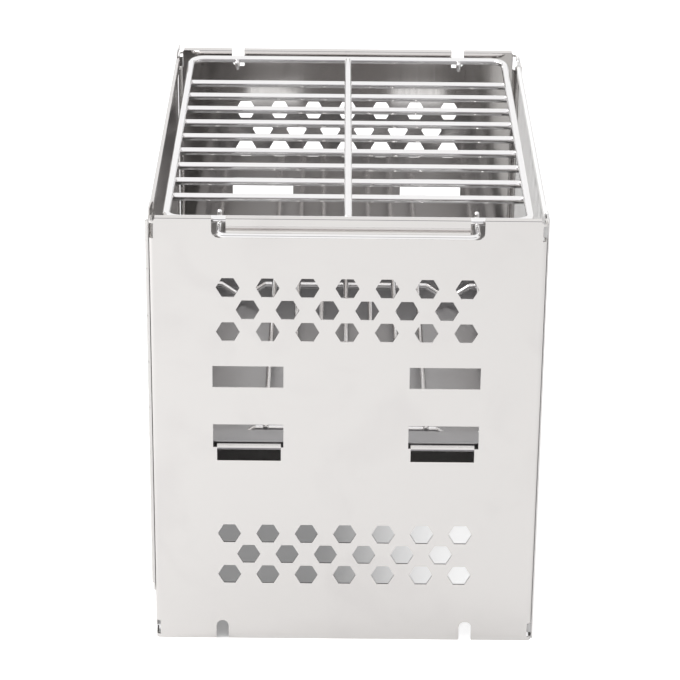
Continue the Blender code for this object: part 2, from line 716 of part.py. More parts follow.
def charcoal_grate(material):
    """Two end wires that stand on their dips, and bars lying along on them."""
    dip_z = TRAY_FLOOR_Z + SHEET + CLEARANCE + GRATE_WIRE / 2
    half = GRATE_DIP_WIDTH / 2
    end_x = GRATE_HALF_WIDTH
    pieces = []
    for place, y in (("front", -GRATE_END_Y), ("rear", GRATE_END_Y)):
        corners = [
            (-end_x, y, GRATE_Z),
            (-GRATE_DIP_X - half, y, GRATE_Z),
            (-GRATE_DIP_X, y, dip_z),
            (-GRATE_DIP_X + half, y, GRATE_Z),
            (GRATE_DIP_X - half, y, GRATE_Z),
            (GRATE_DIP_X, y, dip_z),
            (GRATE_DIP_X + half, y, GRATE_Z),
            (end_x, y, GRATE_Z),
        ]
        path = bent_path(corners, GRATE_WIRE)
        pieces.append(wire(f"grate_{place}_wire", path, GRATE_WIRE, material))
    bar_z = GRATE_Z + GRATE_WIRE + CLEARANCE
    bar_end = GRATE_END_Y + GRATE_BAR_OVERHANG
    number = 0
    places = sorted({side * offset for offset in GRATE_BAR_OFFSETS for side in (-1, 1)})
    for x in places:
        number += 1
        ends = [(x, -bar_end, bar_z), (x, bar_end, bar_z)]
        pieces.append(wire(f"grate_bar_{number}", ends, GRATE_WIRE, material))
    hang_on(pieces, "charcoal_grate_origin", (0, 0, GRATE_Z))
    return pieces


def main():
    for item in list(bpy.data.objects):
        bpy.data.objects.remove(item, do_unlink=True)
    sheet = make_material("polished_stainless_sheet", (0.78, 0.77, 0.75), 0.22)
    bright = make_material("bright_stainless_wire", (0.80, 0.79, 0.78), 0.16)
    hinge_steel = make_material("stainless_hinge", (0.72, 0.71, 0.69), 0.28)
    pan = make_material("stainless_tray", (0.66, 0.65, 0.63), 0.32)
    handle_axis = (0, -HALF_DEPTH + SHEET / 2, HANDLE_Z)
    for end, side, angle in (("front", "left", 0.0), ("rear", "right", HALF_TURN)):
        end_panel(end, sheet, angle)
        door = side_panel(side, sheet, angle)
        door_leaf = hinge(end, side, hinge_steel, angle)
        hang_on((*door, *door_leaf), side + "_side_axis", (HINGE_X, HINGE_Y, 0), angle)
        handle = wire_handle(end, bright, angle)
        hang_on((handle,), end + "_handle_axis", handle_axis, angle)
    cooking_grid(bright)
    charcoal_tray(pan)
    charcoal_grate(bright)


main()
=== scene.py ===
"""Finish of a folding charcoal grill: steel sheets, drawn wires, welds, lamp and camera.

Lengths are in metres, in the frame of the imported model: +X to the grill's right,
+Y from its front panel to its rear panel, +Z up, with the origin on the ground.
"""

import json
import math

import bmesh
import bpy
from mathutils import Matrix, Vector

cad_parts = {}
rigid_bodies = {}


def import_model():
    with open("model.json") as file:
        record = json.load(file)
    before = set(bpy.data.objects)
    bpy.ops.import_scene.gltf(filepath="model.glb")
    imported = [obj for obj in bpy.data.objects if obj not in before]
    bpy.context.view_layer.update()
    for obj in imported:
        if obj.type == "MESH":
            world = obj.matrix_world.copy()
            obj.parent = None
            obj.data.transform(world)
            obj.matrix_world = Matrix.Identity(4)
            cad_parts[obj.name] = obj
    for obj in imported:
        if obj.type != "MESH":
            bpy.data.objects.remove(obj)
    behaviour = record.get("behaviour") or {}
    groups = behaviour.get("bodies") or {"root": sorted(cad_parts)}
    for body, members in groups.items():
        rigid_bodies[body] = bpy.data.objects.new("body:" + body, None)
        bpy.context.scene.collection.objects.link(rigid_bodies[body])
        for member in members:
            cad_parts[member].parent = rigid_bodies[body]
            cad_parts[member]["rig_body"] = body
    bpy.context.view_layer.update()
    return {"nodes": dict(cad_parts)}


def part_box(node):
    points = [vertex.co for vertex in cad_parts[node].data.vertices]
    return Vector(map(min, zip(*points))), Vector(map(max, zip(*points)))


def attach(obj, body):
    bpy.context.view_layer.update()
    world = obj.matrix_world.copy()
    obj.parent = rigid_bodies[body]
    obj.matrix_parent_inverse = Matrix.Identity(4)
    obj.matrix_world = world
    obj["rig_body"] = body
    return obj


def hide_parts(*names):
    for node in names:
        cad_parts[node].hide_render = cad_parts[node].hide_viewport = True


bl_info = {
    "name": "Folding Charcoal Grill",
    "version": (1, 0, 0),
    "blender": (4, 5, 0),
    "location": "3D View > Sidebar > Grill",
    "description": "Dresses the packed grill in steel, wire and welds, and sets its stage",
    "category": "Object",
}

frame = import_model()

ENDS = ("front", "rear")
PANELS = ("front_panel", "rear_panel", "left_side_panel", "right_side_panel")
LEAVES = ("front_hinge_leaf", "left_hinge_leaf", "rear_hinge_leaf", "right_hinge_leaf")
PINS = ("front_hinge_pin", "rear_hinge_pin")

# Sizes of the solids that a node's box doesn't give
HALF_SHEET = 0.0004
HANDLE_WIRE = 0.0025
HANDLE_BEND = 0.0035
GRID_CORNER = 0.008
DIP_X = 0.0606
DIP_WIDTH = 0.026

# Detail of the meshes
WIRE_SIDES = 20
BEND_STEPS = 8
EDGE_STEPS = 2
TIP_ANGLES = tuple(math.radians(angle) for angle in (0, 25, 50, 72))
TIP_CHAMFER = 0.06
TIP_NARROWING = 0.88
MERGE_DISTANCE = 1e-6
SEAM_MERGE_DISTANCE = 1e-5
FLAT_ANGLE = math.radians(0.4)
SHARP_ANGLE = math.radians(35.0)

# Looks of the steel: the grain's stretch per axis, what a smudge adds, and the painted highlight on
# the right panel's inner face, a pale diffuse look that stands in for the key lamp's glare
SHEET_GRAIN = (700.0, 700.0, 9.0)
WIRE_GRAIN = (260.0, 260.0, 260.0)
SMUDGE_ROUGHNESS = 0.10
SMUDGE_TINT = (0.93, 0.925, 0.93)
PAINTED_GLARE_LOOK = {
    "Base Color": (0.93, 0.925, 0.915, 1.0),
    "Roughness": 0.5,
    "Metallic": 0.0,
}

# The stage: the room's light on rough surfaces, where the dim part of the room starts and ends,
# and the light that the floor adds where it is mirrored, around the grill and under its two halves
WHITE = (1.0, 1.0, 1.0, 1.0)
ROOM_LIGHT = 0.8
DIM_ROOM_Y = (-0.15, -0.55)
DIM_ROOM_Z = (0.36, 0.18)
FLOOR_RADIUS = 6.0
FLOOR_SIDES = 96
FLOOR_COLOUR = (0.90, 0.90, 0.90, 1.0)
MIRRORED_FLOOR_LIFT = 0.03
OUTER_FLOOR_LIFT = 0.50
UNDER_FLOOR_LIFT = (0.22, 0.85)
UNDER_FLOOR_X = (-0.02, 0.07)
KEY_PLACE = (-1.5, -0.3, 1.5)
KEY_AIM = (0.0, 0.0, 0.12)
KEY_SIZE = 1.2
SENSOR_WIDTH = 36.0


def size_of(node):
    low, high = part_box(node)
    return high - low


def middle_of(node):
    low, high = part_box(node)
    return (low + high) / 2


def body_of(node):
    return frame["nodes"][node]["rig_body"]


GRID_WIRE = size_of("grid_frame").z
CROSS_WIRE = size_of("grid_cross_wire_1").z
CENTRE_WIRE = size_of("grid_centre_wire").z
GRATE_WIRE = size_of("grate_bar_1").z


class SheetSettings(bpy.types.PropertyGroup):
    """Rolled stainless sheet of the four panels"""

    colour: bpy.props.FloatVectorProperty(
        name="Colour",
        description="Colour of the polished sheet",
        subtype="COLOR",
        min=0.0,
        max=1.0,
        default=(0.77, 0.75, 0.735),
    )
    roughness: bpy.props.FloatProperty(
        name="Roughness",
        description="Roughness of the polished sheet",
        subtype="FACTOR",
        min=0.0,
        max=1.0,
        default=0.08,
    )
    edge: bpy.props.FloatProperty(
        name="Edge Break",
        description="Width of the tumbled edge along every cut",
        subtype="DISTANCE",
        unit="LENGTH",
        min=0.0,
        max=0.0003,
        default=0.00012,
    )


class HingeSettings(bpy.types.PropertyGroup):
    """Leaves, knuckles and pins of the two piano hinges"""

    colour: bpy.props.FloatVectorProperty(
        name="Colour",
        description="Colour of the hinge steel",
        subtype="COLOR",
        min=0.0,
        max=1.0,
        default=(0.72, 0.705, 0.69),
    )
    roughness: bpy.props.FloatProperty(
        name="Roughness",
        description="Roughness of the hinge steel",
        subtype="FACTOR",
        min=0.0,
        max=1.0,
        default=0.26,
    )
    edge: bpy.props.FloatProperty(
        name="Edge Break",
        description="Width of the broken edge on leaves and knuckles",
        subtype="DISTANCE",
        unit="LENGTH",
        min=0.0,
        max=0.0003,
        default=0.00010,
    )


class WireSettings(bpy.types.PropertyGroup):
    """Drawn wire of the cooking grid, the handles and the grate"""

    colour: bpy.props.FloatVectorProperty(
        name="Colour",
        description="Colour of the bright wire",
        subtype="COLOR",
        min=0.0,
        max=1.0,
        default=(0.92, 0.91, 0.91),
    )
    roughness: bpy.props.FloatProperty(
        name="Roughness",
        description="Roughness of the bright wire",
        subtype="FACTOR",
        min=0.0,
        max=1.0,
        default=0.07,
    )
    weld: bpy.props.FloatProperty(
        name="Weld Radius",
        description="Radius of the weld where two wires cross",
        subtype="DISTANCE",
        unit="LENGTH",
        min=0.0005,
        max=0.002,
        default=0.0013,
    )


class TraySettings(bpy.types.PropertyGroup):
    """Pressed pan that holds the charcoal"""

    colour: bpy.props.FloatVectorProperty(
        name="Colour",
        description="Colour of the pan",
        subtype="COLOR",
        min=0.0,
        max=1.0,
        default=(0.46, 0.455, 0.46),
    )
    roughness: bpy.props.FloatProperty(
        name="Roughness",
        description="Roughness of the pan",
        subtype="FACTOR",
        min=0.0,
        max=1.0,
        default=0.30,
    )
    edge: bpy.props.FloatProperty(
        name="Edge Break",
        description="Width of the rounded fold at the pan's corners",
        subtype="DISTANCE",
        unit="LENGTH",
        min=0.0,
        max=0.0003,
        default=0.00025,
    )


class StageSettings(bpy.types.PropertyGroup):
    """Camera, lamp and room of the studio"""

    camera_place: bpy.props.FloatVectorProperty(
        name="Camera Place",
        description="Where the camera stands",
        subtype="XYZ",
        unit="LENGTH",
        default=(-0.0060, -1.3893, 0.7278),
    )
    camera_down: bpy.props.FloatProperty(
        name="Camera Down",
        description="How far the camera looks down",
        subtype="ANGLE",
        default=math.radians(23.885),
    )
    camera_right: bpy.props.FloatProperty(
        name="Camera Right",
        description="How far the camera turns to the grill's right",
        subtype="ANGLE",
        default=math.radians(0.114),
    )
    camera_roll: bpy.props.FloatProperty(
        name="Camera Roll",
        description="How far the camera leans about its own axis",
        subtype="ANGLE",
        default=math.radians(0.586),
    )
    focal_length: bpy.props.FloatProperty(
        name="Focal Length",
        description="Focal length in millimetres on a 36 mm sensor",
        min=10.0,
        default=143.95,
    )
    key_power: bpy.props.FloatProperty(
        name="Key Lamp",
        description="Power of the large lamp at the upper left",
        unit="POWER",
        min=0.0,
        default=24.0,
    )
    room_colour: bpy.props.FloatVectorProperty(
        name="Room",
        description="Colour of the low dim room behind the camera, which only the steel mirrors",
        subtype="COLOR",
        min=0.0,
        max=1.0,
        default=(0.20, 0.19, 0.225),
    )


def new_piece(name, shape, material, node):
    """Make a bmesh a piece that rides with a node's body."""
    bmesh.ops.recalc_face_normals(shape, faces=shape.faces)
    mesh = bpy.data.meshes.new(name)
    shape.to_mesh(mesh)
    shape.free()
    mesh.materials.append(material)
    piece = bpy.data.objects.new(name, mesh)
    bpy.context.scene.collection.objects.link(piece)
    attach(piece, body_of(node))
    return piece


def shade(shape, sharp=SHARP_ANGLE):
    for face in shape.faces:
        face.smooth = True
    for edge in shape.edges:
        edge.smooth = edge.calc_face_angle(math.pi) < sharp


def finished_copy(node, name, material, edge_break):
    """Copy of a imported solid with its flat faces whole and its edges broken."""
    shape = bmesh.new()
    shape.from_mesh(frame["nodes"][node].data)
    bmesh.ops.remove_doubles(shape, verts=shape.verts, dist=MERGE_DISTANCE)
    bmesh.ops.dissolve_limit(
        shape,
        angle_limit=FLAT_ANGLE,
        verts=shape.verts,
        edges=shape.edges,
    )
    if edge_break > 0.0:
        corners = [edge for edge in shape.edges if edge.calc_face_angle(0.0) > SHARP_ANGLE]
        bmesh.ops.bevel(
            shape,
            geom=corners,
            offset=edge_break,
            offset_type="OFFSET",
            affect="EDGES",
            segments=EDGE_STEPS,
            profile=0.5,
            material=-1,
            clamp_overlap=True,
        )
    shade(shape)
    piece = new_piece(name, shape, material, node)
    level = piece.modifiers.new("level_faces", "WEIGHTED_NORMAL")
    level.keep_sharp = True
    level.weight = 100
    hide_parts(node)
    return piece


def ring_edges(items):
    return [item for item in items if isinstance(item, bmesh.types.BMEdge)]


def start_wire(shape, centre, direction, thickness):
    """Ring of points square to a direction, from which a wire is drawn."""
    facing = direction.to_track_quat("Z", "Y").to_matrix().to_4x4()
    bmesh.ops.create_circle(
        shape,
        segments=WIRE_SIDES,
        radius=thickness / 2,
        matrix=Matrix.Translation(centre) @ facing,
    )
    shape.edges.ensure_lookup_table()
    return list(shape.edges)[-WIRE_SIDES:]


def draw_on(shape, edges, run, scale=1.0):
    """Draw a ring on along a run, and narrow it about its middle."""
    drawn = bmesh.ops.extrude_edge_only(shape, edges=edges)
    points = [item for item in drawn["geom"] if isinstance(item, bmesh.types.BMVert)]
    bmesh.ops.translate(shape, verts=points, vec=run)
    if scale != 1.0:
        middle = sum((point.co for point in points), Vector()) / len(points)
        bmesh.ops.scale(
            shape,
            verts=points,
            vec=(scale, scale, scale),
            space=Matrix.Translation(-middle),
        )
    moved = set(points)
    return [edge for edge in ring_edges(drawn["geom"]) if set(edge.verts) <= moved]


def close_tip(shape, edges, direction, thickness, rounded):
    """End a wire in a dome, or in a flat cut with a small chamfer."""
    if rounded:
        steps = [(math.sin(angle), math.cos(angle)) for angle in TIP_ANGLES]
        for (ahead, wide), (next_ahead, next_wide) in zip(steps, steps[1:]):
            run = direction * (next_ahead - ahead) * thickness / 2
            edges = draw_on(shape, edges, run, next_wide / wide)
    else:
        edges = draw_on(shape, edges, direction * thickness * TIP_CHAMFER, TIP_NARROWING)
    bmesh.ops.edgeloop_fill(shape, edges=edges)


def bend_facts(before, corner, after, radius):
    """Centre, axis, angle and the run taken up by a bend between two straight runs."""
    back = (before - corner).normalized()
    ahead = (after - corner).normalized()
    half = back.angle(ahead) / 2
    centre = corner + (back + ahead).normalized() * radius / math.sin(half)
    return centre, ahead.cross(back).normalized(), math.pi - 2 * half, radius / math.tan(half)


def bent_wire(shape, corners, radius, thickness, rounded=True, closed=False):
    """Draw a wire through corners, each rounded to a bend of one radius."""
    corners = [Vector(corner) for corner in corners]
    if closed:
        start = (corners[0] + corners[-1]) / 2
        path = [start, *corners, start]
        first_run = (corners[0] - start).normalized()
        edges = start_wire(shape, start, first_run, thickness)
    else:
        path = corners
        first_run = (corners[1] - corners[0]).normalized()
        inset = thickness / 2 if rounded else 0.0
        path[0] = path[0] + first_run * inset
        path[-1] = path[-1] + (path[-2] - path[-1]).normalized() * inset
        edges = start_wire(shape, path[0], first_run, thickness)
        first_ring = list(edges)
    at = path[0]
    for before, corner, after in zip(path, path[1:], path[2:]):
        centre, axis, angle, run = bend_facts(before, corner, after, radius)
        straight = (corner - before).normalized()
        bend_start = corner - straight * run
        edges = draw_on(shape, edges, bend_start - at)
        spun = bmesh.ops.spin(
            shape,
            geom=edges,
            cent=centre,
            axis=axis,
            angle=angle,
            steps=BEND_STEPS,
            use_merge=False,
            use_duplicate=False,
        )
        edges = ring_edges(spun["geom_last"])
        at = corner + (after - corner).normalized() * run
    edges = draw_on(shape, edges, path[-1] - at)
    if closed:
        bmesh.ops.remove_doubles(shape, verts=shape.verts, dist=SEAM_MERGE_DISTANCE)
    else:
        close_tip(shape, edges, (path[-1] - path[-2]).normalized(), thickness, rounded)
        close_tip(shape, first_ring, -first_run, thickness, rounded)


def straight_wire(shape, start, end, thickness):
    """Draw a wire between two points, cut flat at both ends."""
    start = Vector(start)
    end = Vector(end)
    direction = (end - start).normalized()
    inset = thickness * TIP_CHAMFER
    first_ring = start_wire(shape, start + direction * inset, direction, thickness)
    edges = draw_on(shape, first_ring, end - start - 2 * inset * direction)
    close_tip(shape, edges, direction, thickness, rounded=False)
    close_tip(shape, first_ring, -direction, thickness, rounded=False)


def add_weld(shape, place, radius, stretch):
    """Nugget of melted wire, drawn out along the wires."""
    shape_matrix = Matrix.Translation(place) @ Matrix.Diagonal((*stretch, 1.0))
    bmesh.ops.create_uvsphere(
        shape,
        u_segments=12,
        v_segments=8,
        radius=radius,
        matrix=shape_matrix,
    )


def add_node(tree, kind, place, **values):
    node = tree.nodes.new(kind)
    node.location = place
    for name, value in values.items():
        setattr(node, name, value)
    return node


def new_group(name, inputs, outputs):
    tree = bpy.data.node_groups.new(name, "ShaderNodeTree")
    for socket_name, kind, value in inputs:
        socket = tree.interface.new_socket(socket_name, in_out="INPUT", socket_type=kind)
        if value is not None:
            socket.default_value = value
    for socket_name, kind in outputs:
        tree.interface.new_socket(socket_name, in_out="OUTPUT", socket_type=kind)
    return tree


def rolled_grain_group():
    """Streaks that the rolls leave along a sheet or a wire, and the slow wave of its surface."""
    tree = new_group(
        "Rolled Grain",
        (
            ("Vector", "NodeSocketVector", None),
            ("Stretch", "NodeSocketVector", (900.0, 900.0, 14.0)),
            ("Wave Scale", "NodeSocketFloat", 14.0),
        ),
        (("Streaks", "NodeSocketFloat"), ("Wave", "NodeSocketFloat")),
    )
    into = add_node(tree, "NodeGroupInput", (-600, 0))
    out = add_node(tree, "NodeGroupOutput", (400, 0))
    stretch = add_node(tree, "ShaderNodeVectorMath", (-400, 120), operation="MULTIPLY")
    tree.links.new(into.outputs["Vector"], stretch.inputs[0])
    tree.links.new(into.outputs["Stretch"], stretch.inputs[1])
    streaks = add_node(tree, "ShaderNodeTexNoise", (-200, 120))
    streaks.inputs["Scale"].default_value = 1.0
    streaks.inputs["Detail"].default_value = 3.0
    streaks.inputs["Roughness"].default_value = 0.6
    tree.links.new(stretch.outputs[0], streaks.inputs["Vector"])
    wave = add_node(tree, "ShaderNodeTexNoise", (-200, -160))
    wave.inputs["Detail"].default_value = 1.0
    wave.inputs["Roughness"].default_value = 0.3
    tree.links.new(into.outputs["Vector"], wave.inputs["Vector"])
    tree.links.new(into.outputs["Wave Scale"], wave.inputs["Scale"])
    tree.links.new(streaks.outputs["Fac"], out.inputs["Streaks"])
    tree.links.new(wave.outputs["Fac"], out.inputs["Wave"])
    return tree


def handling_marks_group():
    """Faint wipe marks and finger smudges, as a mask."""
    tree = new_group(
        "Handling Marks",
        (
            ("Vector", "NodeSocketVector", None),
            ("Scale", "NodeSocketFloat", 26.0),
            ("Amount", "NodeSocketFloat", 0.5),
        ),
        (("Mask", "NodeSocketFloat"),),
    )
    into = add_node(tree, "NodeGroupInput", (-700, 0))
    out = add_node(tree, "NodeGroupOutput", (500, 0))
    patches = add_node(tree, "ShaderNodeTexNoise", (-500, 120))
    patches.inputs["Detail"].default_value = 4.0
    patches.inputs["Distortion"].default_value = 0.6
    tree.links.new(into.outputs["Vector"], patches.inputs["Vector"])
    tree.links.new(into.outputs["Scale"], patches.inputs["Scale"])
    edge = add_node(tree, "ShaderNodeMapRange", (-250, 120), interpolation_type="SMOOTHSTEP")
    edge.inputs["From Min"].default_value = 0.48
    edge.inputs["From Max"].default_value = 0.74
    tree.links.new(patches.outputs["Fac"], edge.inputs["Value"])
    amount = add_node(tree, "ShaderNodeMath", (200, 60), operation="MULTIPLY")
    tree.links.new(edge.outputs["Result"], amount.inputs[0])
    tree.links.new(into.outputs["Amount"], amount.inputs[1])
    tree.links.new(amount.outputs[0], out.inputs["Mask"])
    return tree


def shared_group(name, build):
    return bpy.data.node_groups.get(name) or build()


def steel(
    name,
    colour,
    roughness,
    stretch,
    streaks=0.06,
    marks=0.5,
    wave=0.00006,
    wave_scale=14.0,
):
    """Stainless steel with rolled grain, a slow wave and handling marks."""
    material = bpy.data.materials.new(name)
    material.use_nodes = True
    tree = material.node_tree
    shader = tree.nodes["Principled BSDF"]
    shader.inputs["Metallic"].default_value = 1.0
    place = add_node(tree, "ShaderNodeTexCoord", (-1100, 0))
    grain = add_node(tree, "ShaderNodeGroup", (-850, 120))
    grain.node_tree = shared_group("Rolled Grain", rolled_grain_group)
    grain.inputs["Stretch"].default_value = stretch
    grain.inputs["Wave Scale"].default_value = wave_scale
    wiped = add_node(tree, "ShaderNodeGroup", (-850, -160))
    wiped.node_tree = shared_group("Handling Marks", handling_marks_group)
    wiped.inputs["Amount"].default_value = marks
    tree.links.new(place.outputs["Object"], grain.inputs["Vector"])
    tree.links.new(place.outputs["Object"], wiped.inputs["Vector"])

    rough = add_node(tree, "ShaderNodeMapRange", (-550, 160))
    rough.inputs["To Min"].default_value = max(0.0, roughness - streaks)
    rough.inputs["To Max"].default_value = roughness + streaks
    tree.links.new(grain.outputs["Streaks"], rough.inputs["Value"])
    smudged = add_node(tree, "ShaderNodeMath", (-330, 160), operation="MULTIPLY_ADD")
    smudged.inputs[1].default_value = SMUDGE_ROUGHNESS
    tree.links.new(wiped.outputs["Mask"], smudged.inputs[0])
    tree.links.new(rough.outputs["Result"], smudged.inputs[2])
    tree.links.new(smudged.outputs[0], shader.inputs["Roughness"])

    tint = add_node(tree, "ShaderNodeMix", (-330, 420), data_type="RGBA")
    tint.inputs["A"].default_value = (*colour, 1.0)
    smudge = [part * darker for part, darker in zip(colour, SMUDGE_TINT)]
    tint.inputs["B"].default_value = (*smudge, 1.0)
    tree.links.new(wiped.outputs["Mask"], tint.inputs["Factor"])
    tree.links.new(tint.outputs["Result"], shader.inputs["Base Color"])

    height = add_node(tree, "ShaderNodeBump", (-330, -200))
    height.inputs["Strength"].default_value = 1.0
    height.inputs["Distance"].default_value = wave
    tree.links.new(grain.outputs["Wave"], height.inputs["Height"])
    tree.links.new(height.outputs["Normal"], shader.inputs["Normal"])
    return material


def paint_glare_on_inner_face(material, face_x):
    """Make a side panel pale and satin wherever its sheet lies inside of a plane: a painted
    highlight that stands in for the key lamp's glare on its inner face.
    """
    tree = material.node_tree
    shader = tree.nodes["Principled BSDF"]
    place = add_node(tree, "ShaderNodeTexCoord", (-1100, 700))
    split = add_node(tree, "ShaderNodeSeparateXYZ", (-900, 700))
    tree.links.new(place.outputs["Object"], split.inputs[0])
    # Mask of the inner face, where the painted highlight goes
    mask = add_node(tree, "ShaderNodeMath", (-700, 700), operation="LESS_THAN")
    mask.inputs[1].default_value = face_x
    tree.links.new(split.outputs["X"], mask.inputs[0])
    for socket, glare_value in PAINTED_GLARE_LOOK.items():
        target = shader.inputs[socket]
        kind = "RGBA" if socket == "Base Color" else "FLOAT"
        blend = add_node(tree, "ShaderNodeMix", (-120, 600), data_type=kind)
        blend.inputs["A"].default_value = target.default_value
        blend.inputs["B"].default_value = glare_value
        if target.is_linked:
            tree.links.new(target.links[0].from_socket, blend.inputs["A"])
        tree.links.new(mask.outputs[0], blend.inputs["Factor"])
        tree.links.new(blend.outputs["Result"], target)


def bright_wire():
    """The one steel that all the wires share, made when it is first asked for."""
    settings = bpy.context.scene.grill_wire
    found = bpy.data.materials.get("bright_drawn_wire")
    if found:
        return found
    return steel(
        "bright_drawn_wire",
        settings.colour,
        settings.roughness,
        WIRE_GRAIN,
        streaks=0.04,
        marks=0.3,
        wave=0.00004,
        wave_scale=160.0,
    )


class GRILL_OT_panels(bpy.types.Operator):
    """Give the four panels polished sheet with tumbled edges"""

    bl_idname = "grill.panels"
    bl_label = "Sheet Panels"

    def execute(self, context):
        settings = context.scene.grill_sheet
        polished = steel("polished_sheet", settings.colour, settings.roughness, SHEET_GRAIN)
        # The right panel's inner face gets a painted highlight: pale, diffuse steel in place of the
        # key lamp's glare.
        glare_sheet = steel("satin_side_sheet", settings.colour, settings.roughness, SHEET_GRAIN)
        paint_glare_on_inner_face(glare_sheet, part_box("right_side_panel")[1].x - HALF_SHEET)
        for node in PANELS:
            material = glare_sheet if node == "right_side_panel" else polished
            finished_copy(node, node.replace("panel", "sheet"), material, settings.edge)
        return {"FINISHED"}


class GRILL_OT_hinges(bpy.types.Operator):
    """Finish the leaves, knuckles and pins of the piano hinges"""

    bl_idname = "grill.hinges"
    bl_label = "Piano Hinges"

    def execute(self, context):
        settings = context.scene.grill_hinge
        leaf_steel = steel(
            "hinge_steel",
            settings.colour,
            settings.roughness,
            SHEET_GRAIN,
            marks=0.3,
        )
        for node in LEAVES + PINS:
            finished_copy(node, node + "_finished", leaf_steel, settings.edge)
        return {"FINISHED"}


class GRILL_OT_wire_handles(bpy.types.Operator):
    """Draw the two wire handles that also carry the grid"""

    bl_idname = "grill.wire_handles"
    bl_label = "Wire Handles"

    def execute(self, context):
        material = bright_wire()
        for end in ENDS:
            node = end + "_wire_handle"
            low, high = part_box(node)
            outward = -1 if end == "front" else 1
            radius = HANDLE_WIRE / 2
            bar_y = (low.y + radius) if end == "front" else (high.y - radius)
            stub_y = (high.y - radius) if end == "front" else (low.y + radius)
            side_x = high.x - radius
            arm_z = low.z + radius
            corners = (
                (-side_x, stub_y, high.z),
                (-side_x, stub_y, arm_z),
                (-side_x, bar_y, arm_z),
                (side_x, bar_y, arm_z),
                (side_x, stub_y, arm_z),
                (side_x, stub_y, high.z),
            )
            shape = bmesh.new()
            bent_wire(shape, corners, HANDLE_BEND, HANDLE_WIRE)
            shade(shape)
            piece = new_piece(end + "_handle_wire", shape, material, node)
            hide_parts(node)
        return {"FINISHED"}


class GRILL_OT_cooking_grid(bpy.types.Operator):
    """Draw the cooking grid's frame and wires, with a weld at every crossing"""

    bl_idname = "grill.cooking_grid"
    bl_label = "Cooking Grid"

    def execute(self, context):
        material = bright_wire()
        weld = context.scene.grill_wire.weld
        low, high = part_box("grid_frame")
        half_x = high.x - GRID_WIRE / 2
        half_y = high.y - GRID_WIRE / 2
        level = middle_of("grid_frame").z
        corners = [(x * half_x, y * half_y, level) for x, y in ((1, 1), (-1, 1), (-1, -1), (1, -1))]
        shape = bmesh.new()
        bent_wire(shape, corners, GRID_CORNER, GRID_WIRE, closed=True)
        shade(shape)
        rim = new_piece("grid_frame_wire", shape, material, "grid_frame")
        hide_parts("grid_frame")
        names = sorted(name for name in frame["nodes"] if name.startswith("grid_cross_wire"))
        welds = bmesh.new()
        centre_low, centre_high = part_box("grid_centre_wire")
        for name in names:
            middle = middle_of(name)
            reach = size_of(name).x / 2
            shape = bmesh.new()
            straight_wire(
                shape,
                (-reach, middle.y, middle.z),
                (reach, middle.y, middle.z),
                CROSS_WIRE,
            )
            shade(shape)
            piece = new_piece(name.replace("grid_", ""), shape, material, name)
            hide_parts(name)
            joint_z = (middle.z + level) / 2
            for side in (-1, 1):
                place = (side * (half_x - CROSS_WIRE * 0.1), middle.y, joint_z)
                add_weld(welds, place, weld, (1.1, 1.25, 0.9))
            top_z = middle.z + (CROSS_WIRE + CENTRE_WIRE) / 4
            add_weld(welds, (0.0, middle.y, top_z), weld, (1.2, 1.2, 0.8))
        shape = bmesh.new()
        level = middle_of("grid_centre_wire").z
        straight_wire(shape, (0.0, centre_low.y, level), (0.0, centre_high.y, level), CENTRE_WIRE)
        shade(shape)
        piece = new_piece("centre_wire", shape, material, "grid_centre_wire")
        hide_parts("grid_centre_wire")
        for end_y in (centre_low.y, centre_high.y):
            add_weld(welds, (0.0, end_y, level + CENTRE_WIRE * 0.1), weld, (1.15, 1.0, 1.0))
        shade(welds)
        new_piece("grid_welds", welds, material, "grid_frame")
        return {"FINISHED"}


class GRILL_OT_charcoal_tray(bpy.types.Operator):
    """Finish the pressed charcoal tray"""

    bl_idname = "grill.charcoal_tray"
    bl_label = "Charcoal Tray"

    def execute(self, context):
        settings = context.scene.grill_tray
        pan = steel("pressed_tray", settings.colour, settings.roughness, SHEET_GRAIN, marks=0.5)
        finished_copy("charcoal_tray", "pressed_tray", pan, settings.edge)
        return {"FINISHED"}


class GRILL_OT_charcoal_grate(bpy.types.Operator):
    """Draw the grate's bars and its two bent end wires, with their welds"""

    bl_idname = "grill.charcoal_grate"
    bl_label = "Charcoal Grate"

    def execute(self, context):
        material = bright_wire()
        weld = context.scene.grill_wire.weld * 0.85
        welds = bmesh.new()
        bars = sorted(name for name in frame["nodes"] if name.startswith("grate_bar"))
        for name in bars:
            middle = middle_of(name)
            reach = size_of(name).y / 2
            shape = bmesh.new()
            straight_wire(
                shape,
                (middle.x, middle.y - reach, middle.z),
                (middle.x, middle.y + reach, middle.z),
                GRATE_WIRE,
            )
            shade(shape)
            piece = new_piece(name.replace("grate_", "charcoal_"), shape, material, name)
            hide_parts(name)
        for end in ENDS:
            node = f"grate_{end}_wire"
            low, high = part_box(node)
            middle = middle_of(node)
            radius = GRATE_WIRE / 2
            top = high.z - radius
            bottom = low.z + radius
            corners = [(low.x, middle.y, top)]
            for side in (-1, 1):
                offsets = (-DIP_WIDTH / 2, 0.0, DIP_WIDTH / 2)
                levels = (top, bottom, top)
                corners += [(side * DIP_X + x, middle.y, z) for x, z in zip(offsets, levels)]
            corners.append((high.x, middle.y, top))
            shape = bmesh.new()
            bent_wire(shape, corners, GRATE_WIRE, GRATE_WIRE, rounded=False)
            shade(shape)
            piece = new_piece(f"charcoal_{end}_wire", shape, material, node)
            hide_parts(node)
            for name in bars:
                bar = middle_of(name)
                add_weld(welds, (bar.x, middle.y, (bar.z + top) / 2), weld, (1.1, 1.1, 0.8))
        shade(welds)
        new_piece("grate_welds", welds, material, "grate_front_wire")
        return {"FINISHED"}


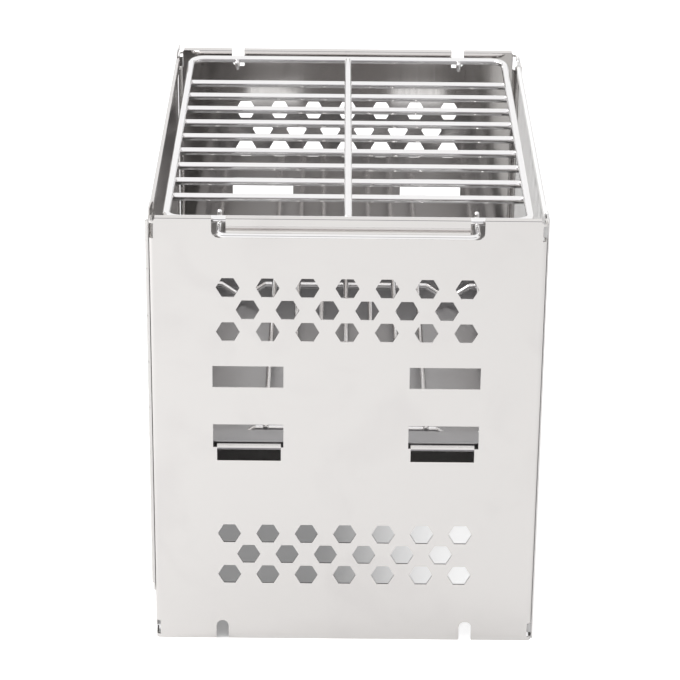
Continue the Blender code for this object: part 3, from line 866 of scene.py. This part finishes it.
def studio_world(room_colour):
    """White studio. The steel also mirrors a dim low room behind the camera."""
    world = bpy.data.worlds.new("studio")
    bpy.context.scene.world = world
    world.use_nodes = True
    tree = world.node_tree
    tree.nodes.clear()
    out = add_node(tree, "ShaderNodeOutputWorld", (700, 0))
    place = add_node(tree, "ShaderNodeTexCoord", (-900, 0))
    split = add_node(tree, "ShaderNodeSeparateXYZ", (-700, 0))
    tree.links.new(place.outputs["Generated"], split.inputs[0])
    ahead = add_node(tree, "ShaderNodeMapRange", (-450, 160), interpolation_type="SMOOTHSTEP")
    ahead.inputs["From Min"].default_value = DIM_ROOM_Y[0]
    ahead.inputs["From Max"].default_value = DIM_ROOM_Y[1]
    tree.links.new(split.outputs["Y"], ahead.inputs["Value"])
    low = add_node(tree, "ShaderNodeMapRange", (-450, -160), interpolation_type="SMOOTHSTEP")
    low.inputs["From Min"].default_value = DIM_ROOM_Z[0]
    low.inputs["From Max"].default_value = DIM_ROOM_Z[1]
    tree.links.new(split.outputs["Z"], low.inputs["Value"])
    both = add_node(tree, "ShaderNodeMath", (-200, 0), operation="MULTIPLY")
    tree.links.new(ahead.outputs["Result"], both.inputs[0])
    tree.links.new(low.outputs["Result"], both.inputs[1])
    colour = add_node(tree, "ShaderNodeMix", (0, 0), data_type="RGBA")
    colour.inputs["A"].default_value = WHITE
    colour.inputs["B"].default_value = (*room_colour, 1.0)
    tree.links.new(both.outputs[0], colour.inputs["Factor"])
    seen = add_node(tree, "ShaderNodeBackground", (200, 160))
    seen.inputs["Color"].default_value = WHITE
    path = add_node(tree, "ShaderNodeLightPath", (-200, 400))
    strength = add_node(tree, "ShaderNodeMapRange", (0, -200))
    strength.inputs["To Min"].default_value = ROOM_LIGHT
    strength.inputs["To Max"].default_value = 1.0
    tree.links.new(path.outputs["Is Glossy Ray"], strength.inputs["Value"])
    mirrored = add_node(tree, "ShaderNodeBackground", (200, -60))
    tree.links.new(strength.outputs["Result"], mirrored.inputs["Strength"])
    tree.links.new(colour.outputs["Result"], mirrored.inputs["Color"])
    pick = add_node(tree, "ShaderNodeMixShader", (450, 0))
    tree.links.new(path.outputs["Is Camera Ray"], pick.inputs[0])
    tree.links.new(mirrored.outputs[0], pick.inputs[1])
    tree.links.new(seen.outputs[0], pick.inputs[2])
    tree.links.new(pick.outputs[0], out.inputs["Surface"])


def studio_floor():
    """Pale floor that keeps the grill's shadow.

    To the camera it is lifted to white around the grill, and under it from grey at the left to
    white at the right. Mirrored in the steel it is almost as its colour says.
    """
    material = bpy.data.materials.new("studio_floor")
    material.use_nodes = True
    tree = material.node_tree
    shader = tree.nodes["Principled BSDF"]
    shader.inputs["Base Color"].default_value = FLOOR_COLOUR
    shader.inputs["Roughness"].default_value = 1.0
    shader.inputs["Specular IOR Level"].default_value = 0.0
    shader.inputs["Emission Color"].default_value = WHITE
    place = add_node(tree, "ShaderNodeTexCoord", (-1500, 0))
    split = add_node(tree, "ShaderNodeSeparateXYZ", (-1300, 0))
    tree.links.new(place.outputs["Object"], split.inputs[0])
    reaches = {"X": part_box("right_side_panel")[1].x, "Y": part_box("rear_panel")[1].y}
    inside = []
    for axis, reach in reaches.items():
        outward = add_node(tree, "ShaderNodeMath", (-1100, 200), operation="ABSOLUTE")
        tree.links.new(split.outputs[axis], outward.inputs[0])
        within = add_node(tree, "ShaderNodeMath", (-900, 200), operation="LESS_THAN")
        within.inputs[1].default_value = reach
        tree.links.new(outward.outputs[0], within.inputs[0])
        inside.append(within)
    under = add_node(tree, "ShaderNodeMath", (-700, 200), operation="MULTIPLY")
    tree.links.new(inside[0].outputs[0], under.inputs[0])
    tree.links.new(inside[1].outputs[0], under.inputs[1])
    lit = add_node(tree, "ShaderNodeMapRange", (-900, -100), interpolation_type="SMOOTHSTEP")
    lit.inputs["From Min"].default_value = UNDER_FLOOR_X[0]
    lit.inputs["From Max"].default_value = UNDER_FLOOR_X[1]
    lit.inputs["To Min"].default_value = UNDER_FLOOR_LIFT[0]
    lit.inputs["To Max"].default_value = UNDER_FLOOR_LIFT[1]
    tree.links.new(split.outputs["X"], lit.inputs["Value"])
    seen = add_node(tree, "ShaderNodeMix", (-500, 200), data_type="FLOAT")
    seen.inputs["A"].default_value = OUTER_FLOOR_LIFT
    tree.links.new(under.outputs[0], seen.inputs["Factor"])
    tree.links.new(lit.outputs["Result"], seen.inputs["B"])
    path = add_node(tree, "ShaderNodeLightPath", (-700, -300))
    mirrored = add_node(tree, "ShaderNodeMath", (-500, -300), operation="MAXIMUM")
    tree.links.new(path.outputs["Is Glossy Ray"], mirrored.inputs[0])
    tree.links.new(path.outputs["Is Transmission Ray"], mirrored.inputs[1])
    mirrored_lift = add_node(tree, "ShaderNodeMath", (-320, -200), operation="MULTIPLY")
    mirrored_lift.inputs[1].default_value = MIRRORED_FLOOR_LIFT
    tree.links.new(mirrored.outputs[0], mirrored_lift.inputs[0])
    lift = add_node(tree, "ShaderNodeMix", (-150, 0), data_type="FLOAT")
    tree.links.new(path.outputs["Is Camera Ray"], lift.inputs["Factor"])
    tree.links.new(mirrored_lift.outputs[0], lift.inputs["A"])
    tree.links.new(seen.outputs["Result"], lift.inputs["B"])
    tree.links.new(lift.outputs["Result"], shader.inputs["Emission Strength"])
    shape = bmesh.new()
    bmesh.ops.create_circle(shape, cap_ends=True, segments=FLOOR_SIDES, radius=FLOOR_RADIUS)
    mesh = bpy.data.meshes.new("studio_floor")
    shape.to_mesh(mesh)
    shape.free()
    mesh.materials.append(material)
    floor = bpy.data.objects.new("studio_floor", mesh)
    bpy.context.scene.collection.objects.link(floor)


def add_lamp(name, place, aim, size, power):
    """Round white lamp that points at a spot."""
    data = bpy.data.lights.new(name, "AREA")
    data.shape = "DISK"
    data.size = size
    data.energy = power
    lamp = bpy.data.objects.new(name, data)
    bpy.context.scene.collection.objects.link(lamp)
    lamp.location = place
    lamp.rotation_euler = (Vector(aim) - Vector(place)).to_track_quat("-Z", "Y").to_euler()


def add_camera(settings):
    """Camera as the photo's, turned down, to the right and about its own axis."""
    down = settings.camera_down
    turn = settings.camera_right
    roll = settings.camera_roll
    level = math.cos(down)
    ahead = Vector((math.sin(turn) * level, math.cos(turn) * level, -math.sin(down)))
    right = Vector((math.cos(turn), -math.sin(turn), 0.0))
    up = right.cross(ahead)
    leaned_right = right * math.cos(roll) + up * math.sin(roll)
    leaned_up = up * math.cos(roll) - right * math.sin(roll)
    data = bpy.data.cameras.new("camera")
    data.lens = settings.focal_length
    data.sensor_width = SENSOR_WIDTH
    camera = bpy.data.objects.new("camera", data)
    bpy.context.scene.collection.objects.link(camera)
    axes = Matrix((leaned_right, leaned_up, -ahead)).transposed().to_4x4()
    camera.matrix_world = Matrix.Translation(settings.camera_place) @ axes
    bpy.context.scene.camera = camera


class GRILL_OT_stage(bpy.types.Operator):
    """Set up the room, the floor, the lamp and the camera"""

    bl_idname = "grill.stage"
    bl_label = "Stage"

    def execute(self, context):
        settings = context.scene.grill_stage
        studio_world(settings.room_colour)
        studio_floor()
        add_lamp("key_lamp", KEY_PLACE, KEY_AIM, KEY_SIZE, settings.key_power)
        add_camera(settings)
        context.scene.view_settings.view_transform = "Standard"
        return {"FINISHED"}


class GRILL_PT_sidebar(bpy.types.Panel):
    """Lists the steps that dress the grill"""

    bl_idname = "GRILL_PT_sidebar"
    bl_label = "Folding Charcoal Grill"
    bl_space_type = "VIEW_3D"
    bl_region_type = "UI"
    bl_category = "Grill"

    def draw(self, context):
        column = self.layout.column(align=True)
        for step in STEPS:
            column.operator(step.bl_idname)


STEPS = (
    GRILL_OT_stage,
    GRILL_OT_panels,
    GRILL_OT_hinges,
    GRILL_OT_wire_handles,
    GRILL_OT_cooking_grid,
    GRILL_OT_charcoal_tray,
    GRILL_OT_charcoal_grate,
)
SETTINGS = {
    "grill_sheet": SheetSettings,
    "grill_hinge": HingeSettings,
    "grill_wire": WireSettings,
    "grill_tray": TraySettings,
    "grill_stage": StageSettings,
}


def register():
    for name, group in SETTINGS.items():
        bpy.utils.register_class(group)
        setattr(bpy.types.Scene, name, bpy.props.PointerProperty(type=group))
    for step in STEPS:
        bpy.utils.register_class(step)
    bpy.utils.register_class(GRILL_PT_sidebar)


def unregister():
    bpy.utils.unregister_class(GRILL_PT_sidebar)
    for step in reversed(STEPS):
        bpy.utils.unregister_class(step)
    for name, group in reversed(list(SETTINGS.items())):
        delattr(bpy.types.Scene, name)
        bpy.utils.unregister_class(group)


def main():
    register()
    bpy.ops.grill.stage()
    bpy.ops.grill.panels()
    bpy.ops.grill.hinges()
    bpy.ops.grill.wire_handles()
    bpy.ops.grill.cooking_grid()
    bpy.ops.grill.charcoal_tray()
    bpy.ops.grill.charcoal_grate()


if __name__ == "__main__":
    main()
